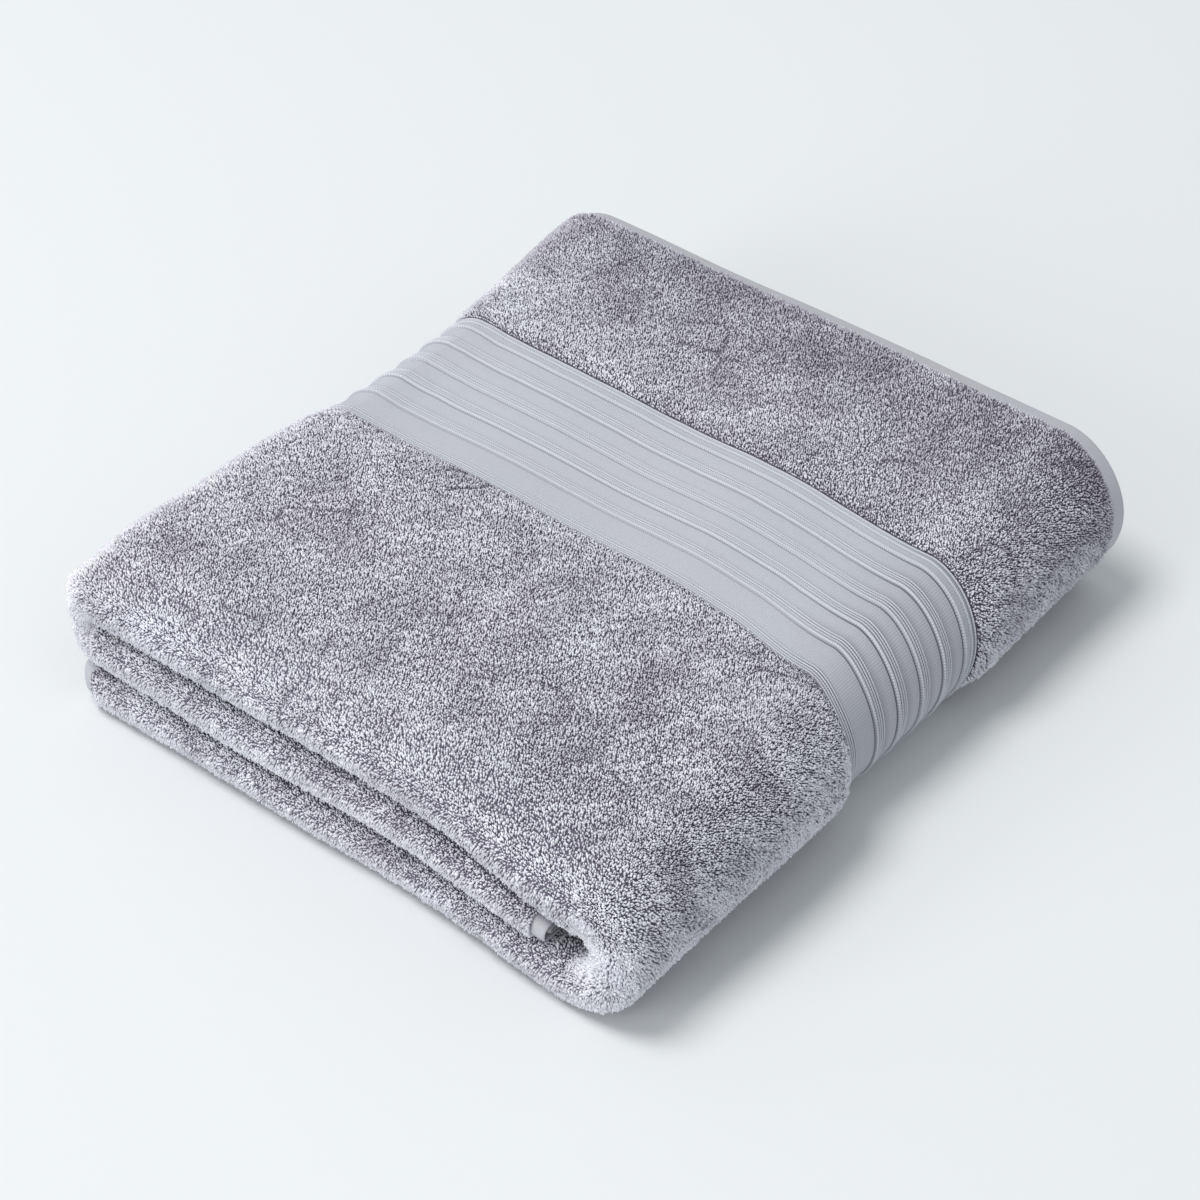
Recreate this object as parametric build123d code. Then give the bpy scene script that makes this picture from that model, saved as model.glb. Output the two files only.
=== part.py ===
from build123d import *
from math import cos, radians, sin
import os

# A thick terry bath sheet, folded for a shelf. The cloth is folded in half and in half
# again along its length, which makes a pad of four plies. The pad is then folded in
# three across its width: one end third lies in the middle, the other goes underneath.
# X runs across the packet, Y from its rolled fold end to its hemmed end, Z upwards.
# The origin is the middle of the footprint, on the surface that the packet rests on.

# Folded packet
pack_width = 340.0
pack_depth = 375.0
pack_height = 80.0
layers = 3
plies_per_layer = 4

# Cloth
pile_ply = pack_height / (layers * plies_per_layer)
ply_gap = 0.3
flat_cloth = 2.4
tuck_rise = 0.8
tuck_width = 2.6
cord_width = 0.7
cord_rise = 0.5

# Ends and edges
end_hem_width = 11.0
side_hem_width = 9.0
thread_size = 0.5
stitch_inset = 2.5
under_edge_inset = 11.0
middle_edge_reach = -18.0

# Woven border across the cloth, measured from the hemmed end
border_start = 113.0
border_width = 89.0
tuck_spacing = 15.2
first_tuck = 8.5
tuck_count = 5
cord_margin = 1.1
far_cord_spacing = 2.3
far_cord_count = 2
near_cord_spacing = 1.2
near_cord_count = 4

# Wedges that the innermost ply is parted in round each turn
right_gores = 6
left_gores = 3

# Places worked out from the sizes above
layer_height = pile_ply * plies_per_layer
pack_back = pack_depth / 2
roll_radius = pile_ply * 2
roll_line = -pack_depth / 2 + roll_radius - ply_gap / 2
loop_line = pack_back - pile_ply
right_turn_x = pack_width / 2 - pack_height / 2
right_turn_z = pack_height / 2
right_turn_inner = pack_height / 6
left_turn_x = -pack_width / 2 + layer_height
left_turn_z = 2 * layer_height
under_edge_x = -pack_width / 2 + under_edge_inset
middle_edge_x = right_turn_x + middle_edge_reach
hem_line = pack_back - end_hem_width
border_back = pack_back - border_start
border_front = border_back - border_width


def ply_centre(ply):
    """Distance from the pad's inner face to the middle of a ply, 0 being the innermost."""
    return (ply + 0.5) * pile_ply


def coil_face(near, far, under_start, middle_end):
    """Section across the packet of a cloth that lies between two distances from the
    pad's inner face: under layer, right turn, top layer, left turn, middle layer."""
    right_near = right_turn_inner + near
    right_far = right_turn_inner + far
    outline = [
        Line((under_start, layer_height - far), (right_turn_x, layer_height - far)),
        ThreePointArc((right_turn_x, right_turn_z - right_far),
                      (right_turn_x + right_far, right_turn_z),
                      (right_turn_x, right_turn_z + right_far)),
        Line((right_turn_x, left_turn_z + far), (left_turn_x, left_turn_z + far)),
        ThreePointArc((left_turn_x, left_turn_z + far),
                      (left_turn_x - far, left_turn_z),
                      (left_turn_x, left_turn_z - far)),
        Line((left_turn_x, left_turn_z - far), (middle_end, left_turn_z - far)),
        Line((middle_end, left_turn_z - far), (middle_end, left_turn_z - near)),
        Line((middle_end, left_turn_z - near), (left_turn_x, left_turn_z - near)),
        ThreePointArc((left_turn_x, left_turn_z - near),
                      (left_turn_x - near, left_turn_z),
                      (left_turn_x, left_turn_z + near)),
        Line((left_turn_x, left_turn_z + near), (right_turn_x, left_turn_z + near)),
        ThreePointArc((right_turn_x, right_turn_z + right_near),
                      (right_turn_x + right_near, right_turn_z),
                      (right_turn_x, right_turn_z - right_near)),
        Line((right_turn_x, layer_height - near), (under_start, layer_height - near)),
        Line((under_start, layer_height - near), (under_start, layer_height - far)),
    ]
    return make_face([Plane.XZ * edge for edge in outline])


def coil(near, far, front, back):
    """Cloth coiled round the packet between two distances from the pad's inner face and
    between two places along Y. Both ends stop where the side hems begin."""
    face = coil_face(near, far, under_edge_x + side_hem_width, middle_edge_x - side_hem_width)
    return Pos(0, back, 0) * extrude(face, amount=back - front, dir=(0, -1, 0))


def pile_cloth(ply, front, back):
    """Terry cloth, loops on both faces, filling one ply of the pad."""
    return coil(ply * pile_ply + ply_gap / 2, (ply + 1) * pile_ply - ply_gap / 2, front, back)


def gores(turn_x, turn_z, near, far, start, count, front, back):
    """Cloth round a half turn as equal wedges, each nearly a flat strip. The turn runs
    anticlockwise in the XZ plane from the start angle."""
    step = 180 / count
    wedges = []
    for index in range(count):
        angles = [start + step * (index + part / 2) for part in range(3)]
        rays = [(cos(radians(angle)), sin(radians(angle))) for angle in angles]
        inside = [(turn_x + near * c, turn_z + near * s) for c, s in rays]
        outside = [(turn_x + far * c, turn_z + far * s) for c, s in rays]
        outline = [
            Line(inside[0], outside[0]),
            ThreePointArc(*outside),
            Line(outside[2], inside[2]),
            ThreePointArc(inside[2], inside[1], inside[0]),
        ]
        face = make_face([Plane.XZ * edge for edge in outline])
        wedges.append(Pos(0, back, 0) * extrude(face, amount=back - front, dir=(0, -1, 0)))
    return wedges


def flat_run(left, right, bottom, top, front, back):
    """A flat run of cloth between its two turns."""
    middle = Pos((left + right) / 2, (front + back) / 2, (bottom + top) / 2)
    return middle * Box(right - left, back - front, top - bottom)


def pocket_lining(ply, front, back):
    """Terry cloth of the ply that lines the hollow of the right turn. It is in flat runs
    and narrow gores, so that each solid follows the hollow closely."""
    near = ply * pile_ply + ply_gap / 2
    far = (ply + 1) * pile_ply - ply_gap / 2
    start = under_edge_x + side_hem_width
    end = middle_edge_x - side_hem_width
    under = flat_run(start, right_turn_x, layer_height - far, layer_height - near, front, back)
    top = flat_run(left_turn_x, right_turn_x, left_turn_z + near, left_turn_z + far, front, back)
    middle = flat_run(left_turn_x, end, left_turn_z - far, left_turn_z - near, front, back)
    inside, outside = right_turn_inner + near, right_turn_inner + far
    right = gores(right_turn_x, right_turn_z, inside, outside, -90, right_gores, front, back)
    left = gores(left_turn_x, left_turn_z, near, far, 90, left_gores, front, back)
    return [under, *right, top, *left, middle]


def flat_woven(ply, front, back):
    """Flat cloth without loops, in the middle of one ply of the pad."""
    middle = ply_centre(ply)
    return coil(middle - flat_cloth / 2, middle + flat_cloth / 2, front, back)


def raised_line(ply, centre, width, rise):
    """A line standing on the outer face of the flat cloth, across the whole cloth."""
    face = ply_centre(ply) + flat_cloth / 2
    return coil(face, face + rise, centre - width / 2, centre + width / 2)


def border_tucks(ply):
    """Narrow folds woven across the border, each standing clear of the flat panels."""
    tucks = []
    for index in range(tuck_count):
        centre = border_back - first_tuck - index * tuck_spacing
        tucks.append(raised_line(ply, centre, tuck_width, tuck_rise))
    return tucks


def border_cords(ply):
    """Fine cords: a pair beside the far pile and a group beside the near pile."""
    far = [border_back - cord_margin - index * far_cord_spacing for index in range(far_cord_count)]
    near = [border_front + cord_margin + index * near_cord_spacing
            for index in range(near_cord_count)]
    return [raised_line(ply, centre, cord_width, cord_rise) for centre in far + near]


def swept_round_pad(section):
    """Carries a section, drawn at x = 0 with the under layer's inner face at z = 0 and
    the pad growing downwards, round the three layers and the two turns."""
    start = under_edge_x + side_hem_width
    end = middle_edge_x - side_hem_width
    under = Pos(start, 0, layer_height) * extrude(section, right_turn_x - start, dir=(1, 0, 0))
    right_axis = Axis((right_turn_x, 0, right_turn_z), (0, -1, 0))
    right = revolve(Pos(right_turn_x, 0, layer_height) * section, right_axis, 180)
    top_section = mirror(section, Plane.XY)
    top_length = right_turn_x - left_turn_x
    top = Pos(left_turn_x, 0, left_turn_z) * extrude(top_section, top_length, dir=(1, 0, 0))
    left_axis = Axis((left_turn_x, 0, left_turn_z), (0, 1, 0))
    left = revolve(Pos(left_turn_x, 0, left_turn_z) * section, left_axis, 180)
    middle = Pos(left_turn_x, 0, left_turn_z) * extrude(section, end - left_turn_x, dir=(1, 0, 0))
    return under + right + top + left + middle


def half_ring(centre_y, centre_depth, inner, outer, side):
    """Half ring in the YZ plane, opening towards side * Y, hanging below z = 0."""
    ring = Circle(outer) - Circle(inner)
    half = ring & Pos(side * outer, 0) * Rectangle(2 * outer, 2 * outer)
    return Pos(0, centre_y, -centre_depth) * (Plane.YZ * half)


def front_outer_roll():
    """Pile cloth of the outermost ply turning down to the innermost ply."""
    inner = pile_ply + ply_gap / 2
    outer = 2 * pile_ply - ply_gap / 2
    return swept_round_pad(half_ring(roll_line, roll_radius, inner, outer, -1))


def front_inner_roll():
    """Pile cloth of the second ply turning down to the third, inside the outer roll."""
    inner = ply_gap / 2
    outer = pile_ply - ply_gap / 2
    return swept_round_pad(half_ring(roll_line, roll_radius, inner, outer, -1))


def back_fold_loop():
    """The first fold, at half the cloth's length, between the two innermost plies."""
    inner = ply_gap / 2
    outer = pile_ply - ply_gap / 2
    return swept_round_pad(half_ring(loop_line, pile_ply, inner, outer, 1))


def side_ribbon(shift, thickness, width, edge_x, face_z):
    """A ribbon that follows one side edge of the cloth through all four plies. The pad
    grows downwards from face_z. The shift moves it off the cloth's middle."""
    outer_turn = 1.5 * pile_ply + shift
    loop_turn = 0.5 * pile_ply + shift
    inner_turn = 0.5 * pile_ply - shift
    depth = [-(ply_centre(ply)) for ply in range(plies_per_layer)]
    first = depth[3] - shift
    second = depth[0] + shift
    third = depth[1] - shift
    fourth = depth[2] + shift
    path = [
        Line((pack_back, first), (roll_line, first)),
        ThreePointArc((roll_line, first), (roll_line - outer_turn, -roll_radius),
                      (roll_line, second)),
        Line((roll_line, second), (loop_line, second)),
        ThreePointArc((loop_line, second), (loop_line + loop_turn, -pile_ply),
                      (loop_line, third)),
        Line((loop_line, third), (roll_line, third)),
        ThreePointArc((roll_line, third), (roll_line - inner_turn, -roll_radius),
                      (roll_line, fourth)),
        Line((roll_line, fourth), (pack_back, fourth)),
    ]
    strip = trace(path, line_width=thickness)
    return Pos(edge_x, 0, face_z) * extrude(Plane.YZ * strip, width, dir=(1, 0, 0))


def side_hem(edge_x, face_z):
    """Flat side hem, one continuous ribbon through the folds."""
    return side_ribbon(0, flat_cloth, side_hem_width, edge_x, face_z)


def side_stitching(thread_x, face_z):
    """Needle and bobbin threads on the two faces of a side hem."""
    reach = flat_cloth / 2 + thread_size / 2
    threads = []
    for shift in (reach, -reach):
        threads.append(side_ribbon(shift, thread_size, thread_size, thread_x, face_z))
    return threads


def end_stitching(ply):
    """Needle and bobbin threads on the two faces of an end hem."""
    back = hem_line + stitch_inset
    front = back - thread_size
    middle = ply_centre(ply)
    above = middle + flat_cloth / 2
    below = middle - flat_cloth / 2 - thread_size
    return [coil(start, start + thread_size, front, back) for start in (above, below)]


def write_node(name, shape):
    """One file for each node; a list becomes a group of separate solids. Every solid is
    lowered by the half gap that the outermost ply keeps, so that the pile meets z = 0."""
    lowered = Pos(0, 0, -ply_gap / 2)
    if isinstance(shape, list):
        shape = Compound(children=[lowered * solid for solid in shape])
    else:
        shape = lowered * shape
    export_step(shape, f"parts/{name}.step")


os.makedirs("parts", exist_ok=True)

outer_ply = 3
second_ply = 2
third_ply = 1
inner_ply = 0

for ply, name in ((outer_ply, "outer"), (second_ply, "second")):
    write_node(f"{name}_end_hem", flat_woven(ply, hem_line, pack_back))
    write_node(f"{name}_hem_stitching", end_stitching(ply))
    write_node(f"{name}_end_pile", pile_cloth(ply, border_back, hem_line))
    write_node(f"{name}_border_band", flat_woven(ply, border_front, border_back))
    write_node(f"{name}_border_tucks", border_tucks(ply))
    write_node(f"{name}_border_cords", border_cords(ply))
    write_node(f"{name}_main_pile", pile_cloth(ply, roll_line, border_front))

write_node("third_ply_pile", pile_cloth(third_ply, roll_line, loop_line))
write_node("inner_ply_pile", pocket_lining(inner_ply, roll_line, loop_line))
write_node("front_outer_roll", front_outer_roll())
write_node("front_inner_roll", front_inner_roll())
write_node("back_fold_loop", back_fold_loop())
under_thread_x = under_edge_x + side_hem_width - stitch_inset
middle_thread_x = middle_edge_x - side_hem_width + stitch_inset - thread_size
write_node("under_side_hem", side_hem(under_edge_x, layer_height))
write_node("under_hem_stitching", side_stitching(under_thread_x, layer_height))
write_node("middle_side_hem", side_hem(middle_edge_x - side_hem_width, left_turn_z))
write_node("middle_hem_stitching", side_stitching(middle_thread_x, left_turn_z))
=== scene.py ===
import math
import bmesh
import bpy
import numpy as np
from mathutils import Matrix, Vector


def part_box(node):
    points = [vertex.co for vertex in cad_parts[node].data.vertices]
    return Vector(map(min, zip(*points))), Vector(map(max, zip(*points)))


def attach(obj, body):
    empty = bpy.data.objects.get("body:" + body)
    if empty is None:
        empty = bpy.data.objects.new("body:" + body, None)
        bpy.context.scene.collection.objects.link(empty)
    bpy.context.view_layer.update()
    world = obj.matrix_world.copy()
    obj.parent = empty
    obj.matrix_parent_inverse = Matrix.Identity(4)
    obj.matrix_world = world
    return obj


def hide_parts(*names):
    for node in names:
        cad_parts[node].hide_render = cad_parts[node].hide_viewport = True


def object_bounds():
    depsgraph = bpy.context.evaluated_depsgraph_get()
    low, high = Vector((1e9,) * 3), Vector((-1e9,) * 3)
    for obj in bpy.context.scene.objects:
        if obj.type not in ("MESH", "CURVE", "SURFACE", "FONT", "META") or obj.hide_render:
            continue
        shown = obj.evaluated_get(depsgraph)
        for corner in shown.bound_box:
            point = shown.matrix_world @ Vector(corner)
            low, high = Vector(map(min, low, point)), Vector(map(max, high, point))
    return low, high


# A thick terry bath sheet, folded to a packet: one cloth in four plies and three layers.
# The cloth is worked in its own flat measure, u across it and v along it from the outer
# hem, and every piece is carried through the same folds to its place. Metres throughout.

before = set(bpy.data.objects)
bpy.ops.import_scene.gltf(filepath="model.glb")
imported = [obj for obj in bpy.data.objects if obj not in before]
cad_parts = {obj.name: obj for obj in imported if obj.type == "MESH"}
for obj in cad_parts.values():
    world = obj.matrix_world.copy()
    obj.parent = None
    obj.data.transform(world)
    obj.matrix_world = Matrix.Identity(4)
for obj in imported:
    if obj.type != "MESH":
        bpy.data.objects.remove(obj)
cadLow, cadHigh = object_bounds()
rng = np.random.default_rng(41)

# the folded packet, measured from the frame
packet = {
    "gap": 0.0003,            # room between plies in the frame
    "plies": 12,
    "ground": 0.0020,         # woven ground, without its loops
    "flat": 0.0024,           # the border's flat cloth
}

gap = packet["gap"]
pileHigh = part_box("outer_main_pile")[1]
hemLow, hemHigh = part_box("outer_end_hem")
underLow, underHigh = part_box("under_side_hem")
bandLow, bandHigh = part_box("outer_border_band")
high = pileHigh.z
ply = (high + gap) / packet["plies"]
halfWidth = pileHigh.x + gap / 2
back = hemHigh.y
front = cadLow.y
rollLine = front + 2 * ply - gap / 2
loopLine = back - ply
rightTurn = halfWidth - 6 * ply
leftTurn = -halfWidth + 4 * ply
underEdge = underLow.x
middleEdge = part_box("middle_side_hem")[1].x
sideHem = underHigh.x - underEdge

# lengths of cloth: seven runs along it, five across it
lengthRuns = [
    back - rollLine,
    math.pi * 1.5 * ply,
    loopLine - rollLine,
    math.pi * 0.5 * ply,
    loopLine - rollLine,
    math.pi * 0.5 * ply,
    back - rollLine,
]
widthRuns = [
    rightTurn - underEdge,
    math.pi * 4 * ply,
    rightTurn - leftTurn,
    math.pi * 2 * ply,
    middleEdge - leftTurn,
]
lengthStops = np.concatenate([[0], np.cumsum(lengthRuns)])
widthStops = np.concatenate([[0], np.cumsum(widthRuns)])
clothLength = lengthStops[-1]
clothWidth = widthStops[-1]
hemEnd = back - hemLow.y
bandStart = back - bandHigh.y
bandEnd = back - bandLow.y
print("cloth", round(clothWidth, 3), "x", round(clothLength, 3))


def foldLength(v, h):
    # four plies: place along the packet, and distance from the pad's inner face
    zone = np.clip(np.searchsorted(lengthStops, v, side="right") - 1, 0, 6)
    s = v - lengthStops[zone]
    outer = 1.5 * ply + h
    loop = 0.5 * ply + h
    inner = 0.5 * ply - h
    a = s / (1.5 * ply)
    b = s / (0.5 * ply)
    y = np.choose(zone, [back - s, rollLine - outer * np.sin(a), rollLine + s,
                         loopLine + loop * np.sin(b), loopLine - s,
                         rollLine - inner * np.sin(b), rollLine + s])
    o = np.choose(zone, [3.5 * ply + h, 2 * ply + outer * np.cos(a), 0.5 * ply - h,
                         ply - loop * np.cos(b), 1.5 * ply + h,
                         2 * ply - inner * np.cos(b), 2.5 * ply - h])
    return y, o


def foldWidth(u, o):
    # three layers: under, wide right turn, top, left turn, middle
    zone = np.clip(np.searchsorted(widthStops, u, side="right") - 1, 0, 4)
    s = u - widthStops[zone]
    wide = 2 * ply + o
    a = s / (4 * ply)
    b = s / (2 * ply)
    x = np.choose(zone, [underEdge + s, rightTurn + wide * np.sin(a), rightTurn - s,
                         leftTurn - o * np.sin(b), leftTurn + s])
    z = np.choose(zone, [4 * ply - o, 6 * ply - wide * np.cos(a), 8 * ply + o,
                         8 * ply + o * np.cos(b), 8 * ply - o])
    return x, z - gap / 2


def ease(x, low, high):
    t = np.clip((x - low) / (high - low), 0, 1)
    return t * t * (3 - 2 * t)


def ripple(a, b, size, seed):
    # a slow uneven wave over two measures, between about -1 and 1
    pick = np.random.default_rng(seed)
    total = 0
    for wave in range(6):
        angle = pick.uniform(0, math.pi)
        step = size * pick.uniform(0.6, 1.7)
        phase = pick.uniform(0, 2 * math.pi)
        way = a * math.cos(angle) + b * math.sin(angle)
        total = total + np.sin(way * 2 * math.pi / step + phase)
    return total / 3.2


soft = {
    "bandDip": 0.0022,        # the border lies lower, as its two plies have no loops
    "bandDraw": (0.0045, 0.0020),  # and it is drawn tighter round the wide turn
    "waist": 0.0130,          # the narrow turn is drawn in, most of all near the border
    "waistReach": 0.10,
    "waistFlare": 0.0070,     # and the border flares towards the back on its way there
    "shoulder": (0.0045, 0.0055),  # the border widens over the top and again at the wide turn
    "noseFlat": 0.30,         # the rolls at the front are pressed flatter than half circles
    "noseReach": 0.026,
    "frontBulge": 0.0050,
    "frontDroop": 0.0030,
    "rightSkew": (0.003, 0.014),   # the outer ply creeps forward over the top and round the turn
    "leftSkew": (0.005, 0.003),
    "hemRoll": 0.0058,        # the hem turns down over the far edge
    "hemReach": 0.020,
    "backRise": 0.0045,       # just before it the top stands a little higher and fuller
    "backFull": 0.0025,
    "backCorner": 0.003,      # the far right corner is pulled in
    "leftCorner": 0.010,      # and the near left corner is rounded
    "underIn": 0.0040,        # the under layer lies a little further in at the left
    "topWave": 0.0013,
    "sideWave": 0.0016,
    "hollowSag": 0.0165,      # the top layer sags over the hollow beside the middle layer
    "middleSpread": 0.0060,   # and the middle layer's edge is pressed out into it
}


def sagIntoHollow(x, y, z):
    # full at the front, slight further in; nothing moves under the middle layer
    low = 4 * ply
    turnHeight = 6 * ply
    top = 8 * ply
    within = 1 - ease(np.abs(z - turnHeight), 1.9 * ply, 2.6 * ply)
    edge = ease(x, middleEdge - 0.06, middleEdge)
    edge = edge * (1 - ease(x, middleEdge + 0.002, middleEdge + 0.010))
    x = x + soft["middleSpread"] * within * edge
    share = 0.30 + 0.70 * (1 - ease(y, front, front + 0.13))
    sag = soft["hollowSag"] * share
    below = np.clip((z - low) / (top - low), 0, 1)
    above = 1 - 0.45 * np.clip((z - top) / low, 0, 1)
    flat = sag * np.where(z < top, below, above) * ease(x, 0.045, rightTurn)
    out = np.maximum(x - rightTurn, 0)
    rise = z - turnHeight
    reach = np.maximum(np.hypot(out, rise), 1e-6)
    inward = sag * (rise / reach + 1) / 2 * (1 - 0.45 * np.clip((reach - 2 * ply) / low, 0, 1))
    turned = x > rightTurn
    newX = np.where(turned, x - inward * out / reach, x)
    newZ = np.where(turned, z - inward * rise / reach, z - flat)
    return newX, newZ


def creep(x, y, z):
    # how far the cloth has crept towards the front, growing round each turn
    middle = ease(y, front, -0.03) * (1 - 0.75 * ease(y, 0.0, back))
    over = z > 6 * ply
    angle = np.arctan2(np.maximum(x - rightTurn, 0), z - 6 * ply)
    rightPart = np.where(over | (x > rightTurn), 1, ease(x, 0, rightTurn))
    turned = np.where(over & (x < rightTurn), 0, 1)
    swing = np.sin(0.80 * angle ** 2 / (angle + 0.3)) * rightPart * turned
    topPart = ease(x, 0.03, rightTurn) * rightPart
    leftPart = np.clip((leftTurn - x) / (halfWidth + leftTurn), 0, 1)
    leftTop = ease(-x, 0.02, -leftTurn) * (z > 4 * ply)
    right = soft["rightSkew"][0] * topPart + soft["rightSkew"][1] * swing
    left = soft["leftSkew"][0] * leftTop + soft["leftSkew"][1] * leftPart
    topWide, nearTurn = soft["shoulder"]
    level = np.where(x > rightTurn, 1, ease(z, 6 * ply, 8 * ply))
    wider = topWide * ease(x, -0.13, -0.03) + nearTurn * ease(x, 0.085, rightTurn)
    wider = level * wider * (1 - ease(angle, 0.5, 2.1))
    alongBand = np.clip((y - bandLow.y) / (bandHigh.y - bandLow.y), 0, 1)
    nearEdge = ease(y, bandLow.y - 0.075, bandLow.y) * (1 - alongBand)
    flare = ease(-x, 0.05, -leftTurn) * ease(z, 6 * ply, 8 * ply) * ease(y, bandLow.y, bandHigh.y)
    flare = soft["waistFlare"] * flare * (1 - ease(y, bandHigh.y, back))
    return middle * (right + left) + wider * nearEdge - flare


def settle(x, y, z):
    # cloth isn't board: dips, rounded corners and slow waves, the same for every piece
    crept = creep(x, y, z)
    x, z = sagIntoHollow(x, y, z)
    depth = y - front
    y = front + depth * (soft["noseFlat"] + (1 - soft["noseFlat"]) * ease(depth, 0, soft["noseReach"]))
    share = np.clip(z / high, 0, 1)
    right = np.clip((x - rightTurn) / (halfWidth - rightTurn), 0, 1)
    left = np.clip((leftTurn - x) / (halfWidth + leftTurn), 0, 1)
    band = ease(y, bandLow.y - 0.014, bandLow.y + 0.002)
    band = band * (1 - ease(y, bandHigh.y - 0.003, bandHigh.y + 0.012))
    end = ease(y, back - soft["hemReach"], back + 0.003)
    nose = 1 - ease(y, front, front + 0.05)
    newZ = z - soft["bandDip"] * band * share ** 2
    roll = soft["hemRoll"] * (1 + 0.2 * ease(-x, -0.06, 0.10))
    rise = soft["backRise"] * ease(y, back - 0.06, back - 0.01)
    rise = rise * (1 + 0.8 * ease(x, 0.06, rightTurn))
    newZ = newZ + share ** 2 * (rise - roll * end ** 1.5)
    newZ = newZ + soft["topWave"] * share ** 2 * ripple(x, y, 0.12, 3)
    newZ = newZ - soft["frontDroop"] * share * nose * ease(-x, 0.0, halfWidth)
    draw = soft["bandDraw"][0] + soft["bandDraw"][1] * (1 - ease(y, -0.02, 0.05))
    waist = soft["waist"] * np.exp(-((y - bandHigh.y + 0.03) / soft["waistReach"]) ** 2)
    newX = x - band * draw * right + waist * ease(-x, -leftTurn - 0.035, halfWidth)
    newX = newX + soft["underIn"] * (1 - ease(z, 3.8 * ply, 4.2 * ply)) * ease(-x, 0.10, halfWidth)
    newZ = newZ - 0.1 * left * waist * share
    newX = newX + soft["sideWave"] * right * ripple(y, z, 0.13, 5)
    newX = newX - 0.5 * soft["sideWave"] * left * ripple(y, z, 0.10, 6)
    newY = y - crept - soft["backCorner"] * right ** 1.6 * ease(y, back - 0.13, back)
    newY = newY + soft["backFull"] * ease(y, back - 0.07, back)
    newY = newY - soft["frontBulge"] * ease(x, 0.02, 0.13) * nose * (1 - 0.6 * share)
    newY = newY + soft["leftCorner"] * left ** 2 * ease(-y, -front - 0.06, -front)
    newY = newY + soft["sideWave"] * ease(-y, -front - 0.08, -front) * ripple(x, z * 2.5, 0.15, 8)
    return newX, newY, newZ


def place(u, v, h):
    # flat cloth to folded cloth: u across, v along, h off the cloth's middle
    y, o = foldLength(v, h)
    x, z = foldWidth(u, o)
    return np.stack(settle(x, y, z), axis=-1)


def spread(stops, counts):
    # places along a run, with their number set for each stretch
    parts = [np.linspace(a, b, n, endpoint=False) for a, b, n in zip(stops[:-1], stops[1:], counts)]
    return np.concatenate(parts + [[stops[-1]]])


look = {
    "azimuth": 36.65,
    "elevation": 41.08,
    "roll": 2.0,
    "target": (0.0044, -0.0079, 0.030),
    "distance": 1.503,
    "lens": 97.9,
    "floor": (0.82, 0.845, 0.86),
    "world": (0.94, 0.98, 1.0),
    "worldStrength": 0.52,
    "keyPower": 109.0,
    "keySize": 2.1,
    "keyFrom": (-1.30, -1.05, 4.30),
    "fillPower": 36.0,
    "fillSize": 2.0,
    "fillFrom": (-0.9, -3.3, 1.25),
    "lampColour": (1.0, 0.985, 0.97),
}


def setCamera():
    a, e, r = (math.radians(look[key]) for key in ("azimuth", "elevation", "roll"))
    backward = Vector((math.sin(a) * math.cos(e), -math.cos(a) * math.cos(e), math.sin(e)))
    right = Vector((0, 0, 1)).cross(backward).normalized()
    up = backward.cross(right)
    rolled = right * math.cos(r) + up * math.sin(r)
    up = up * math.cos(r) - right * math.sin(r)
    data = bpy.data.cameras.new("camera")
    data.lens = look["lens"]
    camera = bpy.data.objects.new("camera", data)
    bpy.context.collection.objects.link(camera)
    turn = Matrix((rolled, up, backward)).transposed()
    stand = Vector(look["target"]) + backward * look["distance"]
    camera.matrix_world = Matrix.Translation(stand) @ turn.to_4x4()
    bpy.context.scene.camera = camera


def setLights():
    world = bpy.data.worlds.new("studio")
    world.use_nodes = True
    sky = world.node_tree.nodes["Background"]
    sky.inputs["Color"].default_value = (*look["world"], 1)
    sky.inputs["Strength"].default_value = look["worldStrength"]
    bpy.context.scene.world = world
    for name in ("key", "fill"):
        data = bpy.data.lights.new(name, "AREA")
        data.shape = "DISK"
        data.size = look[name + "Size"]
        data.energy = look[name + "Power"]
        data.color = look["lampColour"]
        light = bpy.data.objects.new(name, data)
        bpy.context.collection.objects.link(light)
        light.location = look[name + "From"]
        light.rotation_euler = (-Vector(look[name + "From"])).to_track_quat("-Z", "Y").to_euler()


def setFloor():
    bm = bmesh.new()
    bmesh.ops.create_grid(bm, x_segments=1, y_segments=1, size=6)
    mesh = bpy.data.meshes.new("floor")
    bm.to_mesh(mesh)
    bm.free()
    floor = bpy.data.objects.new("floor", mesh)
    bpy.context.collection.objects.link(floor)
    material = bpy.data.materials.new("paleFloor")
    material.use_nodes = True
    shader = material.node_tree.nodes["Principled BSDF"]
    shader.inputs["Base Color"].default_value = (*look["floor"], 1)
    shader.inputs["Roughness"].default_value = 0.9
    shader.inputs["Specular IOR Level"].default_value = 0.2
    mesh.materials.append(material)


bpy.context.scene.view_settings.view_transform = "Standard"
setCamera()
setLights()
setFloor()
print("stage set")

finish = {
    # the loops' colour at the root, darkened as painted shade, and at the tip
    "loopRootShade": (0.20, 0.175, 0.24),
    "loopLight": (0.95, 0.955, 1.0),
    # the ground shows only in the gaps between loops, so its colour is painted shade
    "groundPaintedShade": (0.18, 0.16, 0.215),
    "hemColour": (0.56, 0.565, 0.59),
    "flatColour": (0.66, 0.675, 0.715),
    "flatDimming": 0.76,      # the border's painted crease shade and its weave dim it by this much
    "warmTint": (1.015, 0.99, 1.01),
    "coolTint": (0.97, 1.0, 1.03),
    "creaseGreys": (1.0, 0.80, 0.20),  # painted highlight on a ridge, on the flat, and painted shade in a crease
    "loopSheen": 0.26,
    "weaveSheen": 0.06,
}


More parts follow.
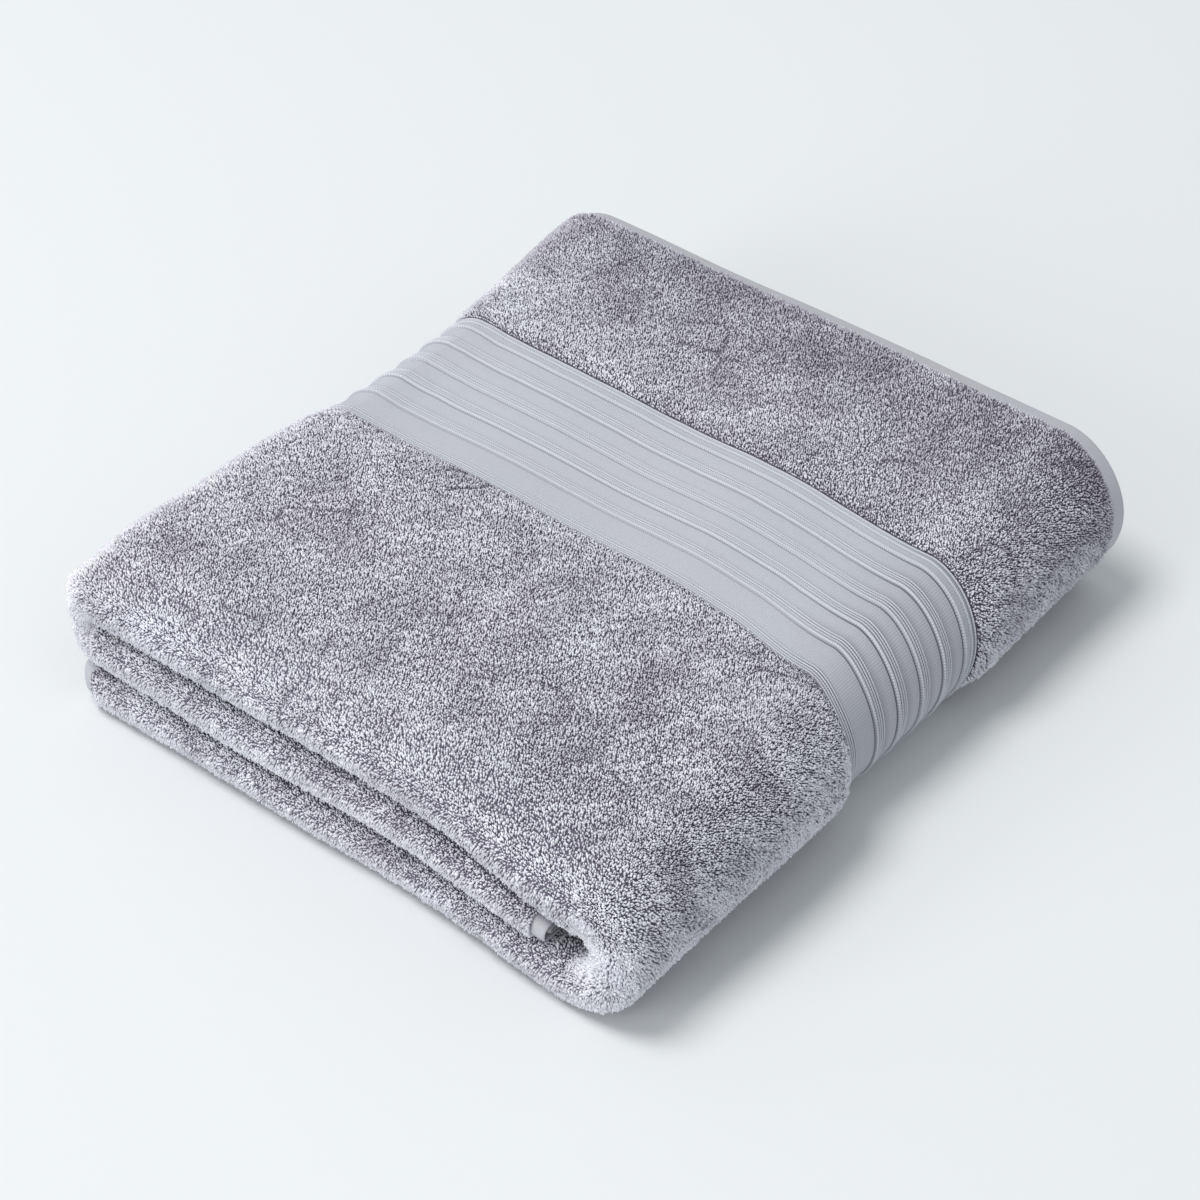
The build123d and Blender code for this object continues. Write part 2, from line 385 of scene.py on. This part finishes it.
def newFinish(name, roughness, sheen, sheenRoughness):
    material = bpy.data.materials.new(name)
    material.use_nodes = True
    shader = material.node_tree.nodes["Principled BSDF"]
    shader.inputs["Roughness"].default_value = roughness
    shader.inputs["Specular IOR Level"].default_value = 0.25
    shader.inputs["Sheen Weight"].default_value = sheen
    shader.inputs["Sheen Roughness"].default_value = sheenRoughness
    return material, material.node_tree.nodes, material.node_tree.links, shader


def tinted(nodes, links, colour, size):
    # a slow drift between a warmer and a cooler grey over the cloth
    spot = nodes.new("ShaderNodeTexCoord")
    cloud = nodes.new("ShaderNodeTexNoise")
    cloud.inputs["Scale"].default_value = 1 / size
    cloud.inputs["Detail"].default_value = 3
    links.new(spot.outputs["Object"], cloud.inputs["Vector"])
    drift = nodes.new("ShaderNodeMix")
    drift.data_type = "RGBA"
    drift.inputs["A"].default_value = (*finish["coolTint"], 1)
    drift.inputs["B"].default_value = (*finish["warmTint"], 1)
    links.new(cloud.outputs["Fac"], drift.inputs["Factor"])
    product = nodes.new("ShaderNodeMix")
    product.data_type = "RGBA"
    product.blend_type = "MULTIPLY"
    product.inputs["Factor"].default_value = 1
    links.new(drift.outputs["Result"], product.inputs["A"])
    if isinstance(colour, tuple):
        product.inputs["B"].default_value = (*colour, 1)
    else:
        links.new(colour, product.inputs["B"])
    return product.outputs["Result"]


def loopFinish(name):
    # loop yarn: dark with painted shade at its root, light where it turns over
    material, nodes, links, shader = newFinish(name, 0.85, finish["loopSheen"], 0.45)
    toneAndPaintedShade = nodes.new("ShaderNodeAttribute")
    toneAndPaintedShade.attribute_name = "toneAndPaintedShade"
    ramp = nodes.new("ShaderNodeValToRGB")
    ramp.color_ramp.elements[0].color = (*finish["loopRootShade"], 1)
    ramp.color_ramp.elements[1].color = (*finish["loopLight"], 1)
    links.new(toneAndPaintedShade.outputs["Fac"], ramp.inputs["Fac"])
    links.new(tinted(nodes, links, ramp.outputs["Color"], 0.05), shader.inputs["Base Color"])
    return material


def wovenFinish(name, colour, threads, slant, depth, contrast, creased=False):
    # flat weave: two sets of fine threads in the cloth's own measure, with painted shade in its creases
    # and painted highlight on its ridges when creased
    material, nodes, links, shader = newFinish(name, 0.8, finish["weaveSheen"], 0.4)
    measure = nodes.new("ShaderNodeUVMap")
    measure.uv_map = "cloth"
    waves = []
    for size, angle in zip(threads, (slant, slant + math.pi / 2)):
        turn = nodes.new("ShaderNodeMapping")
        turn.inputs["Rotation"].default_value = (0, 0, angle)
        wave = nodes.new("ShaderNodeTexWave")
        wave.inputs["Scale"].default_value = math.pi / 10 / size
        wave.inputs["Distortion"].default_value = 0.4
        wave.inputs["Detail"].default_value = 1
        links.new(measure.outputs["UV"], turn.inputs["Vector"])
        links.new(turn.outputs["Vector"], wave.inputs["Vector"])
        waves.append(wave)
    weave = nodes.new("ShaderNodeMath")
    weave.operation = "MULTIPLY"
    links.new(waves[0].outputs["Fac"], weave.inputs[0])
    links.new(waves[1].outputs["Fac"], weave.inputs[1])
    shade = nodes.new("ShaderNodeMix")
    shade.data_type = "RGBA"
    shade.inputs["A"].default_value = (*(c * (1 - contrast) for c in colour), 1)
    shade.inputs["B"].default_value = (*(c * (1 + contrast / 2) for c in colour), 1)
    links.new(weave.outputs["Value"], shade.inputs["Factor"])
    bump = nodes.new("ShaderNodeBump")
    bump.inputs["Strength"].default_value = 0.6
    bump.inputs["Distance"].default_value = depth
    links.new(weave.outputs["Value"], bump.inputs["Height"])
    links.new(bump.outputs["Normal"], shader.inputs["Normal"])
    result = shade.outputs["Result"]
    if creased:
        crease = nodes.new("ShaderNodeAttribute")
        crease.attribute_name = "crease"
        ramp = nodes.new("ShaderNodeValToRGB")
        ramp.color_ramp.elements.new(0.5)
        for element, grey in zip(ramp.color_ramp.elements, finish["creaseGreys"]):
            element.color = (grey, grey, grey, 1)
        darken = nodes.new("ShaderNodeMix")
        darken.data_type = "RGBA"
        darken.blend_type = "MULTIPLY"
        darken.inputs["Factor"].default_value = 1
        links.new(crease.outputs["Fac"], ramp.inputs["Fac"])
        links.new(result, darken.inputs["A"])
        links.new(ramp.outputs["Color"], darken.inputs["B"])
        result = darken.outputs["Result"]
    links.new(tinted(nodes, links, result, 0.08), shader.inputs["Base Color"])
    return material


loopYarn = loopFinish("loopYarn")
borderColour = tuple(c / finish["flatDimming"] for c in finish["flatColour"])
groundWeave = wovenFinish("groundWeave", finish["groundPaintedShade"], (0.0011, 0.0011), 0, 0.0002, 0.15)
hemWeave = wovenFinish("hemWeave", finish["hemColour"], (0.0008, 0.0012), 0.7, 0.00015, 0.12)
borderWeave = wovenFinish("borderWeave", borderColour, (0.00112, 0.00050), 0, 0.0004, 0.28, creased=True)
print("finishes made")


def layGrid(bm, columns, rows):
    # a grid to be moved into place, with each vertex's column and row
    bmesh.ops.create_grid(bm, x_segments=columns - 1, y_segments=rows - 1, size=1)
    bm.verts.index_update()
    flat = np.array([v.co[:2] for v in bm.verts])
    col = np.rint((flat[:, 0] + 1) / 2 * (columns - 1)).astype(int)
    row = np.rint((flat[:, 1] + 1) / 2 * (rows - 1)).astype(int)
    return col, row


def gridSheet(name, us, vs, height, material):
    # a grid in the cloth's own measure, carried through the folds; height is off the cloth
    bm = bmesh.new()
    measure = bm.loops.layers.uv.new("cloth")
    baked = bm.loops.layers.uv.new("OFBake")
    col, row = layGrid(bm, len(us), len(vs))
    u = us[col]
    v = vs[row]
    points = place(u, v, height(u, v))
    for vert, point in zip(bm.verts, points):
        vert.co = point
    for face in bm.faces:
        for loop in face.loops:
            i = loop.vert.index
            loop[measure].uv = (u[i], v[i])
            across = (u[i] - us[0]) / (us[-1] - us[0])
            along = (v[i] - vs[0]) / (vs[-1] - vs[0])
            loop[baked].uv = (across, along)
    return finishMesh(bm, name, material)


def finishMesh(bm, name, material):
    for face in bm.faces:
        face.smooth = True
    mesh = bpy.data.meshes.new(name)
    bm.to_mesh(mesh)
    bm.free()
    piece = bpy.data.objects.new(name, mesh)
    bpy.context.collection.objects.link(piece)
    mesh.materials.append(material)
    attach(piece, "root")
    return piece


base = {
    "tuck": 0.0015,           # how far the ground reaches into the hems
    "sink": 0.0010,           # and how far it keeps below the border's own cloth
    "sinkReach": 0.002,
    "acrossCounts": (36, 20, 34, 12, 32),
    "alongCounts": (12, 12, 18, 12, 36, 6, 36, 6, 18, 12, 12),
}


def sinkUnderBorder(u, v):
    reach = base["sinkReach"]
    return -base["sink"] * ((v > bandStart - reach) & (v < bandEnd + reach))


def makeGround():
    tuck = base["tuck"]
    acrossStops = [sideHem - tuck, *widthStops[1:-1], clothWidth - sideHem + tuck]
    alongStops = [hemEnd - tuck, bandStart, bandEnd, *lengthStops[1:-1]]
    alongStops += [clothLength - bandEnd, clothLength - bandStart, clothLength - hemEnd + tuck]
    us = spread(acrossStops, base["acrossCounts"])
    vs = spread(alongStops, base["alongCounts"])
    ground = gridSheet("terryGround", us, vs, sinkUnderBorder, groundWeave)
    thick = ground.modifiers.new("thickness", "SOLIDIFY")
    thick.thickness = packet["ground"]
    thick.offset = 0
    return ground


yarn = {
    "sides": 3,
    "rootRadius": 0.00040,
    "ring": (0.00010, 0.00130, 0.00060, 0.30),  # lean, rise, radius and tilt
    "tip": (0.00042, 0.00205),                  # lean and rise
    "spacing": 0.00116,
    "underSpacing": 0.0022,   # coarser where the loops are seldom seen
    "rowStep": 0.866,         # rows are staggered, so they stand closer than the loops in them
    "stray": 0.36,            # how far a root strays from its place, as a share of the spacing
    "clumpSize": 0.0052,      # loops lean together in small clumps
    "clumpPull": 0.9,
    "combSize": 0.070,        # and drift slowly one way or another
    "combPull": 0.45,
    "leanNoise": 0.40,
    "droop": 0.9,             # on upright faces they hang down
    "sizeNoise": 0.15,
    "patchSize": 0.055,       # paler and darker patches
    "patchShade": 0.13,
    "partSize": 0.050,        # here and there the pile parts along a short line of painted shade
    "partShade": 0.3,
    "creviceSize": 0.0045,    # fine lines of painted shade, over shorter loops, wander between rows of loops
    "creviceShade": 0.50,
    "ridgeWidth": 0.016,      # along the front edge the loops carry a painted highlight
    "ridgeHighlight": (0.10, 0.65),  # by how much at their tips and at their roots
    "backShade": 0.38,        # and towards the far hem they are darker
    "shadeNoise": 0.06,
    "islandSize": 0.0010,     # each loop's own patch of the baking map
    "islandRise": 0.0025,
}


def makeTuft():
    # one loop of yarn: a short tube that rises, turns over and closes in a rounded tip
    bm = bmesh.new()
    bmesh.ops.create_circle(bm, cap_ends=False, segments=yarn["sides"], radius=yarn["rootRadius"])
    drawn = bmesh.ops.extrude_edge_only(bm, edges=bm.edges[:])["geom"]
    verts = [g for g in drawn if isinstance(g, bmesh.types.BMVert)]
    edges = [g for g in drawn if isinstance(g, bmesh.types.BMEdge)]
    edges = [edge for edge in edges if all(v in verts for v in edge.verts)]
    lean, rise, radius, tilt = yarn["ring"]
    swell = radius / yarn["rootRadius"]
    turn = Matrix.Rotation(tilt, 4, "Y") @ Matrix.Diagonal((swell, swell, 1, 1))
    bmesh.ops.transform(bm, matrix=Matrix.Translation((lean, 0, rise)) @ turn, verts=verts)
    cap = bmesh.ops.contextual_create(bm, geom=edges)["faces"]
    tip = bmesh.ops.poke(bm, faces=cap)["verts"][0]
    tip.co = (yarn["tip"][0], 0, yarn["tip"][1])
    bmesh.ops.recalc_face_normals(bm, faces=bm.faces)
    mesh = bpy.data.meshes.new("tuft")
    bm.to_mesh(mesh)
    bm.free()
    return mesh


def repeated(mesh, count):
    # the same shape many times over, in one mesh
    first = bpy.data.objects.new("seed", mesh)
    bpy.context.collection.objects.link(first)
    rows = first.modifiers.new("rows", "ARRAY")
    rows.count = count
    rows.use_relative_offset = False
    shown = first.evaluated_get(bpy.context.evaluated_depsgraph_get())
    many = bpy.data.meshes.new_from_object(shown)
    bpy.data.objects.remove(first)
    return many


def unit(a):
    return a / np.maximum(np.linalg.norm(a, axis=-1, keepdims=True), 1e-12)


def outerWay():
    # distance over the packet's outer face at each fold across the cloth
    face = 3.5 * ply + packet["ground"] / 2
    runs = [widthRuns[0], math.pi * (2 * ply + face), widthRuns[2], math.pi * face, widthRuns[4]]
    return np.concatenate([[0], np.cumsum(runs)])


def leanOf(u, v):
    # which way each loop leans on the cloth, and how far
    step = 0.0004
    size = yarn["clumpSize"]
    slope = size / (2 * math.pi) / (2 * step)
    clumpU = (ripple(u + step, v, size, 14) - ripple(u - step, v, size, 14)) * slope
    clumpV = (ripple(u, v + step, size, 14) - ripple(u, v - step, size, 14)) * slope
    comb = 1.5 * math.pi * ripple(u, v, yarn["combSize"], 11)
    leanU = yarn["clumpPull"] * clumpU + yarn["combPull"] * np.cos(comb)
    leanV = yarn["clumpPull"] * clumpV + yarn["combPull"] * np.sin(comb)
    leanU = leanU + rng.normal(0, yarn["leanNoise"], len(u))
    leanV = leanV + rng.normal(0, yarn["leanNoise"], len(u))
    return leanU, leanV, ripple(u, v, size, 14)


def scatterRoots(uRange, vRange, spacing):
    # staggered rows over one stretch of cloth, each root a little off its place
    ways = outerWay()
    start, end = np.interp(uRange, widthStops, ways)
    across = np.arange(start + spacing / 2, end, spacing)
    along = np.arange(vRange[0] + spacing / 2, vRange[1], spacing * yarn["rowStep"])
    gridU, gridV = np.meshgrid(across, along)
    gridU[1::2] += spacing / 2
    stray = yarn["stray"]
    gridU = gridU + rng.uniform(-stray, stray, gridU.shape) * spacing
    gridV = gridV + rng.uniform(-stray, stray, gridV.shape) * spacing
    u = np.interp(np.clip(gridU.ravel(), start, end), ways, widthStops)
    v = np.clip(gridV.ravel(), *vRange)
    return u, v


def standOnCloth(u, v):
    # each root on the outer face, with the way off the cloth, across it and along it
    step = 0.0003
    lift = packet["ground"] / 2 * np.ones(len(u))
    root = place(u, v, lift)
    normal = unit(place(u, v, lift + step) - root)
    alongU = unit(place(u + step, v, lift) - root)
    alongU = unit(alongU - normal * (alongU * normal).sum(1, keepdims=True))
    return root, normal, alongU, np.cross(normal, alongU)


def marksOf(u, v):
    # from 0 to 1: how near the border is, how far the pile parts, where a painted highlight lies along
    # the front edge, and where the pile opens in crevices of painted shade
    beyond = v < bandStart
    near = 1 - ease(np.where(beyond, bandStart - v, v - bandEnd), 0, np.where(beyond, 0.003, 0.006))
    part = np.exp(-(ripple(u, v, yarn["partSize"], 17) / 0.045) ** 2)
    part = part * ease(ripple(u, v, 0.06, 19), 0.25, 0.6)
    # a band of painted highlight along the nose of the front roll
    ridge = np.exp(-((v - lengthStops[1] + 0.002) / yarn["ridgeWidth"]) ** 2)
    # lines of painted shade between rows of loops, weaker in the painted highlight
    crevice = np.exp(-(ripple(u, v, yarn["creviceSize"], 23) / 0.20) ** 2)
    crevice = crevice * rng.uniform(0.4, 1.0, len(u)) * (1 - 0.8 * ridge)
    return near, part, ridge, crevice


def toneAndShadeOf(u, v, clump, part, ridge, crevice, heights):
    # how pale each loop is at each of its corners: painted shade at its root, in crevices and partings, a
    # painted highlight along the front edge, in slow patches over the cloth
    patch = ripple(u, v, yarn["patchSize"], 13) + 0.6 * ripple(u, v, 0.4 * yarn["patchSize"], 15)
    atBack = 1 - ease(v, 0, bandStart)
    tipHighlight, rootHighlight = yarn["ridgeHighlight"]
    shade = 1 + 0.05 * clump + yarn["patchShade"] * patch + tipHighlight * ridge
    shade = shade - yarn["backShade"] * atBack - yarn["partShade"] * part
    shade = shade - yarn["creviceShade"] * crevice + rng.normal(0, yarn["shadeNoise"], len(u))
    # painted shade at each loop's root, fading up to its tip, lifted by the painted highlight along the
    # front edge
    rise = (heights / heights.max()).clip(0, 1) ** 0.5
    return (np.outer(shade, rise) + rootHighlight * np.outer(ridge, 1 - rise)).clip(0, 1)


def sowPile(name, uRange, vRange, spacing, fullness=1.0):
    # the loops of one stretch of the outer face, each with its own lean and size
    u, v = scatterRoots(uRange, vRange, spacing)
    count = len(u)
    root, normal, alongU, alongV = standOnCloth(u, v)
    leanU, leanV, clump = leanOf(u, v)
    near, part, ridge, crevice = marksOf(u, v)
    byHem = 1 - ease(v, hemEnd, hemEnd + 0.005)
    leanV = leanV + near * np.where(v < bandStart, 0.7, 1.0) - byHem  # over the edges of border and hem
    lean = alongU * leanU[:, None] + alongV * leanV[:, None]
    steep = 1 - np.abs(normal[:, 2:3])
    down = np.array([[0, 0, -1.0]])
    lean = lean + yarn["droop"] * steep * (down - normal * (down * normal).sum(1, keepdims=True))
    reach = np.linalg.norm(lean, axis=1).clip(0.35, 1.5)
    lean = unit(lean)
    cross = np.cross(normal, lean)
    size = fullness * (1 + 0.08 * clump + rng.normal(0, yarn["sizeNoise"], count)).clip(0.6, 1.4)
    size = size * (1 - 0.35 * near - 0.4 * part - 0.25 * crevice).clip(0.4, 1)
    tuft = makeTuft()
    corners = len(tuft.vertices)
    shape = np.empty(corners * 3)
    tuft.vertices.foreach_get("co", shape)
    shape = shape.reshape(-1, 3)
    leaning = np.outer(reach * size, shape[:, 0])
    sideways = np.outer(np.ones(count), shape[:, 1])
    rising = np.outer(size, shape[:, 2])
    points = root[:, None, :] + leaning[..., None] * lean[:, None, :]
    points = points + sideways[..., None] * cross[:, None, :] + rising[..., None] * normal[:, None, :]
    points[..., 2] = np.maximum(points[..., 2], 0.00005)  # none dips into the floor
    mesh = repeated(tuft, count)
    mesh.vertices.foreach_set("co", points.ravel())
    # each loop's tone with its painted shade and painted highlight, per corner
    toneAndPaintedShade = toneAndShadeOf(u, v, clump, part, ridge, crevice, shape[:, 2])
    mesh.attributes.new("toneAndPaintedShade", "FLOAT", "POINT").data.foreach_set("value", toneAndPaintedShade.ravel())
    layTuftUVs(mesh, u, v, uRange, vRange, corners, shape)
    mesh.shade_smooth()
    mesh.name = name
    mesh.materials.clear()
    mesh.materials.append(loopYarn)
    piece = bpy.data.objects.new(name, mesh)
    bpy.context.collection.objects.link(piece)
    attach(piece, "root")
    return piece


def layTuftUVs(mesh, u, v, uRange, vRange, corners, shape):
    # each tuft gets its own small patch of the map, at its place on the cloth
    index = np.empty(len(mesh.loops), int)
    mesh.loops.foreach_get("vertex_index", index)
    tuft = index // corners
    own = index % corners
    around = np.arctan2(shape[own, 1], yarn["rootRadius"] - shape[own, 0] * 0.2) / 3.0
    island = yarn["islandSize"]
    wide = max(uRange[1] - uRange[0], vRange[1] - vRange[0]) + 2 * island
    across = (u[tuft] - uRange[0] + island * (0.5 + around * 0.5)) / wide
    along = (v[tuft] - vRange[0] + island * (0.2 + shape[own, 2] / yarn["islandRise"])) / wide
    uv = np.stack([across, along], axis=-1)
    mesh.uv_layers.new(name="OFBake").data.foreach_set("uv", uv.ravel())


fields = {
    "hemClear": 0.0004,       # bare ground beside the end hem
    "rollPast": 0.006,        # the front roll's loops run on a little past its turn
    "tuckedPast": 0.012,      # and so do the left side's, under the top layer
    "pocketDepth": 0.12,      # loops line the hollow this far in
    "pocketPast": 0.018,
    "rollFullness": 1.15,
    "pocketFullness": 1.5,
    "loopFullness": 1.1,
}


def makePile():
    endField = (hemEnd + fields["hemClear"], bandStart)
    mainField = (bandEnd, lengthStops[1])
    roll = (lengthStops[1], lengthStops[2] + fields["rollPast"])
    pocket = (roll[1], roll[1] + fields["pocketDepth"])
    loopField = (lengthStops[3], lengthStops[4])
    w = widthStops
    topMiddle = (w[2] + w[3]) / 2
    tucked = w[4] + fields["tuckedPast"]
    inside = (w[1] - fields["pocketPast"], w[2] + fields["pocketPast"])
    betweenHems = (sideHem, clothWidth - sideHem)
    full = fields["rollFullness"]
    s = yarn["spacing"]
    coarse = yarn["underSpacing"]
    piles = {
        "outer_end_pile": [
            sowPile("endPileTopRight", (w[2], topMiddle), endField, s),
            sowPile("endPileTopLeft", (topMiddle, w[3]), endField, s),
            sowPile("endPileRight", (w[1], w[2]), endField, s),
            sowPile("endPileLeft", (w[3], tucked), endField, s),
        ],
        "outer_main_pile": [
            sowPile("mainPileTopRight", (w[2], topMiddle), mainField, s),
            sowPile("mainPileTopLeft", (topMiddle, w[3]), mainField, s),
            sowPile("mainPileRight", (w[1], w[2]), mainField, s),
            sowPile("mainPileLeft", (w[3], tucked), mainField, s),
            sowPile("mainPileUnder", (sideHem, w[1]), mainField, coarse),
        ],
        "front_outer_roll": [
            sowPile("rollPileUnder", (0.95 * sideHem, w[1]), roll, s, full),
            sowPile("rollPileTurn", (w[1], w[2]), roll, s, full),
            sowPile("rollPileTop", (w[2], w[3]), roll, s, full),
            sowPile("rollPileMiddle", (w[3], clothWidth - 0.8 * sideHem), roll, s, full),
        ],
        "inner_ply_pile": [
            sowPile("pocketPile", inside, pocket, coarse, fields["pocketFullness"]),
        ],
        "back_fold_loop": [
            sowPile("backLoopPile", betweenHems, loopField, s, fields["loopFullness"]),
        ],
    }
    piles["outer_end_pile"].append(sowPile("endPileUnder", (sideHem, w[1]), endField, coarse))
    for node, made in piles.items():
        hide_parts(node)
    return [piece for made in piles.values() for piece in made]


ground = makeGround()
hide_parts("third_ply_pile", "front_inner_roll", "second_end_pile", "second_main_pile")
print("ground folded")
piles = makePile()
print("pile sown", sum(len(pile.data.polygons) for pile in piles), "faces")

border = {
    "columns": (40, 96, 92, 50, 30),
    "far": (0.0011, 0.0034),
    "near": (0.0010, 0.0023, 0.0036, 0.0049),
    "firstTuck": 0.0085,
    "tuckSpacing": 0.0152,
    "tucks": 5,
    "threads": (0.0021, 0.0034, 0.0047),  # fine cords behind every tuck but the farthest
    "tuckHeight": 0.00125,
    "creaseDepth": 0.00080,
    "cordHeight": 0.00065,
    "gapDepth": 0.00025,
    "rim": 0.0006,            # how far its two edges take to sink into the pile
}


def ridges(v):
    # the tucks and cords: height over the flat panels, painted shade from 0 light (painted highlight) to
    # 1 dark, and furrows
    height = np.zeros_like(v)
    furrow = np.zeros_like(v)
    shade = np.full_like(v, 0.5)
    cords = [bandStart + c for c in border["far"]] + [bandEnd - c for c in border["near"]]
    for i in range(border["tucks"]):
        tuck = bandStart + border["firstTuck"] + i * border["tuckSpacing"]
        before = tuck - v
        ridge = np.where(before < 0, np.exp(-(before / 0.00072) ** 6), np.exp(-(before / 0.00095) ** 2))
        crease = np.exp(-((before + 0.00106) / 0.00033) ** 2)
        height += border["tuckHeight"] * ridge - border["creaseDepth"] * crease
        # painted shade in the crease under each tuck, painted highlight on its ridge
        shade += 0.20 * crease - 0.26 * ridge
        furrow += crease
        cords += [tuck - c for c in border["threads"] if i > 0]
    for centre in cords:
        cord = np.exp(-((v - centre) / 0.00042) ** 2)
        gaps = np.exp(-((np.abs(v - centre) - 0.00065) / 0.00022) ** 2)
        height += border["cordHeight"] * cord - border["gapDepth"] * gaps
        # painted shade in the gaps beside each cord, painted highlight on the cord
        shade += 0.13 * gaps - 0.32 * cord
        furrow += gaps
    return height, shade.clip(0, 1), furrow.clip(0, 1)


def makeBorder():
    fine = [bandStart, bandStart + 0.0045]  # rows stand closest over the tucks and cords
    rows = [24]
    for i in range(border["tucks"]):
        centre = bandStart + border["firstTuck"] + i * border["tuckSpacing"]
        fine += [centre - 0.0056, centre + 0.0018]
        rows += [2, 42]
    fine += [bandEnd - 0.0060, bandEnd]
    rows += [3, 34]
    vs = spread(fine, rows)
    us = spread(widthStops, border["columns"])
    face = packet["flat"] / 2
    rim = border["rim"]

    def height(u, v):
        farEdge = ease(v, bandStart - 0.0001, bandStart + rim)
        nearEdge = 1 - ease(v, bandEnd - rim, bandEnd + 0.0001)
        edge = np.minimum(farEdge, nearEdge)
        pucker = ease(u, widthStops[3] - 0.06, widthStops[3]) * 0.0003
        slack = (0.00012 + pucker) * ripple(u, v * 1.5, 0.024, 21)
        return (face + ridges(v)[0] + slack) * edge + rim * (1 - edge)

    band = gridSheet("outerBorderBand", us, vs, height, borderWeave)
    uv = np.empty(len(band.data.loops) * 2)
    band.data.uv_layers["cloth"].data.foreach_get("uv", uv)
    crease = band.data.attributes.new("crease", "FLOAT", "CORNER")
    across = uv[0::2]
    turned = ease(across, widthStops[1], widthStops[1] + 0.03)  # painted shade round the wide turn, which faces away from the key light, deepest in its furrows
    turned = turned * (1 - ease(across, widthStops[2] - 0.015, widthStops[2] + 0.035))
    shade, furrow = ridges(uv[1::2])[1:]
    # the crease attribute: painted shade and painted highlight, with the highlights held down round the
    # turn
    crease.data.foreach_set("value", (shade + turned * (0.10 + 0.33 * furrow)).clip(0.30 * turned, 1))
    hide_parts("outer_border_band", "outer_border_tucks", "outer_border_cords")
    return band


band = makeBorder()
print("border woven", len(band.data.polygons), "faces")

hems = {
    "endThickness": 0.0030,
    "sideThickness": 0.0026,
    "acrossCounts": (40, 60, 40, 40, 36),
    "alongCounts": (60, 24, 50, 16, 50, 16, 60),
    "backShift": 0.02,        # the weave on a hem's far face starts elsewhere
}


def closedStrip(name, along, across, isEnd, thickness):
    # a hem: its own closed section, flat with rounded edges, carried along one edge of the cloth
    inner, outer = across
    half = thickness / 2
    flatPart = np.linspace(inner + half, outer - half, 5)
    turn = np.linspace(0, math.pi, 6)[1:-1]
    section = [(p, half) for p in flatPart]
    section += [(outer - half + half * math.sin(t), half * math.cos(t)) for t in turn]
    section += [(p, -half) for p in flatPart[::-1]]
    section += [(inner + half - half * math.sin(t), -half * math.cos(t)) for t in turn]
    section = np.array(section + section[:1])
    bm = bmesh.new()
    measure = bm.loops.layers.uv.new("cloth")
    col, row = layGrid(bm, len(along), len(section))
    a = along[col]
    b, h = section[row].T
    points = place(a, b, h) if isEnd else place(b, a, h)
    for vert, point in zip(bm.verts, points):
        vert.co = point
    for face in bm.faces:
        for loop in face.loops:
            i = loop.vert.index
            shift = hems["backShift"] if h[i] < 0 else 0
            loop[measure].uv = (a[i], b[i] + shift)
    bmesh.ops.remove_doubles(bm, verts=bm.verts, dist=1e-6)
    bmesh.ops.holes_fill(bm, edges=bm.edges)
    bmesh.ops.recalc_face_normals(bm, faces=bm.faces)
    piece = finishMesh(bm, name, hemWeave)
    return piece


acrossCloth = spread(widthStops, hems["acrossCounts"])
alongCloth = spread(lengthStops, hems["alongCounts"])
firstEnd = (0, hemEnd)
secondEnd = (clothLength - hemEnd, clothLength)
firstSide = (0, sideHem)
secondSide = (clothWidth - sideHem, clothWidth)
hemParts = {
    "outer_end_hem": closedStrip("outerEndHem", acrossCloth, firstEnd, True, hems["endThickness"]),
    "second_end_hem": closedStrip("secondEndHem", acrossCloth, secondEnd, True, hems["endThickness"]),
    "under_side_hem": closedStrip("underSideHem", alongCloth, firstSide, False, hems["sideThickness"]),
    "middle_side_hem": closedStrip("middleSideHem", alongCloth, secondSide, False, hems["sideThickness"]),
}
for node, piece in hemParts.items():
    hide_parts(node)
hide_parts("outer_hem_stitching")
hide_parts("second_hem_stitching")
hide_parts("under_hem_stitching")
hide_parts("middle_hem_stitching")
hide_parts("second_border_band", "second_border_tucks", "second_border_cords")
print("hems turned")
